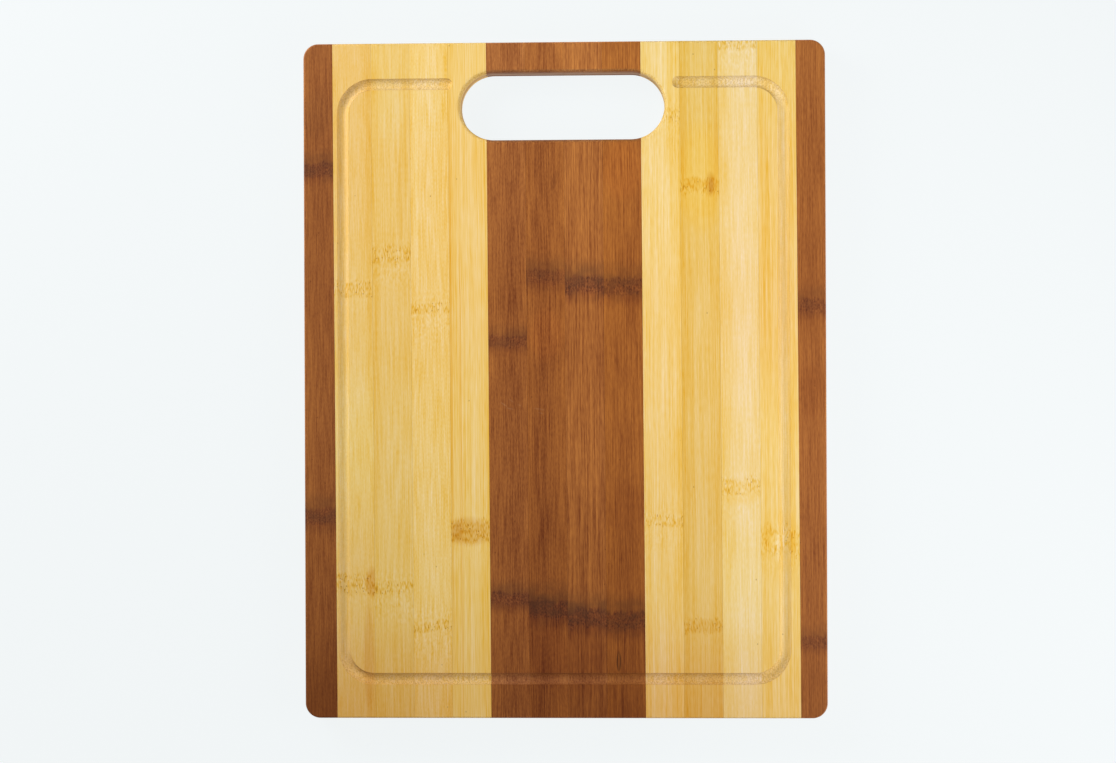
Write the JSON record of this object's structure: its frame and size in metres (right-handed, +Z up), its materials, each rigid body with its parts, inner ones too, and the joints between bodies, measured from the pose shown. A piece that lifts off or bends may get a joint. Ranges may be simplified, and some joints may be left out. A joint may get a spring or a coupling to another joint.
{
  "type": "cutting board",
  "caption": "Rectangular laminated bamboo cutting board with dark and light stripes, a round-ended hand slot at one end and a juice groove round the cutting face.",
  "frame": {"origin": "centre of the board's outline on the plane of the rest face", "axes": "+Z up through the cutting face, +Y along the length towards the hand slot, +X to the right seen from above"},
  "size_m": [0.278, 0.36, 0.018],
  "materials": {
    "natural_bamboo": "oiled satin",
    "dark_bamboo": "oiled satin",
    "core_bamboo": "oiled satin"
  },
  "bodies": {
    "root": {"back_dark_bridge_1": "dark_bamboo", "back_dark_bridge_2": "dark_bamboo", "back_dark_bridge_3": "dark_bamboo", "back_dark_bridge_4": "dark_bamboo", "back_dark_panel_1": "dark_bamboo", "back_dark_panel_2": "dark_bamboo", "back_dark_panel_3": "dark_bamboo", "back_dark_panel_4": "dark_bamboo", "back_edge_left": "dark_bamboo", "back_edge_right": "dark_bamboo", "back_light_left_1": "natural_bamboo", "back_light_left_2": "natural_bamboo", "back_light_left_3": "natural_bamboo", "back_light_left_4": "natural_bamboo", "back_light_right_1": "natural_bamboo", "back_light_right_2": "natural_bamboo", "back_light_right_3": "natural_bamboo", "back_light_right_4": "natural_bamboo", "core_cross_01": "core_bamboo", "core_cross_02": "core_bamboo", "core_cross_03": "core_bamboo", "core_cross_04": "core_bamboo", "core_cross_05": "core_bamboo", "core_cross_06": "core_bamboo", "core_cross_07": "core_bamboo", "core_cross_08": "core_bamboo", "core_cross_09": "core_bamboo", "core_cross_10": "core_bamboo", "core_cross_11": "core_bamboo", "core_cross_12": "core_bamboo", "core_cross_13": "core_bamboo", "core_cross_14": "core_bamboo", "core_cross_15": "core_bamboo", "core_cross_16": "core_bamboo", "core_cross_17_left": "core_bamboo", "core_cross_17_right": "core_bamboo", "core_cross_18": "core_bamboo", "face_dark_bridge_1": "dark_bamboo", "face_dark_bridge_2": "dark_bamboo", "face_dark_bridge_3": "dark_bamboo", "face_dark_bridge_4": "dark_bamboo", "face_dark_panel_1": "dark_bamboo", "face_dark_panel_2": "dark_bamboo", "face_dark_panel_3": "dark_bamboo", "face_dark_panel_4": "dark_bamboo", "face_edge_left": "dark_bamboo", "face_edge_right": "dark_bamboo", "face_light_left_1": "natural_bamboo", "face_light_left_2": "natural_bamboo", "face_light_left_3": "natural_bamboo", "face_light_left_4": "natural_bamboo", "face_light_right_1": "natural_bamboo", "face_light_right_2": "natural_bamboo", "face_light_right_3": "natural_bamboo", "face_light_right_4": "natural_bamboo"}
  },
  "joints": []
}
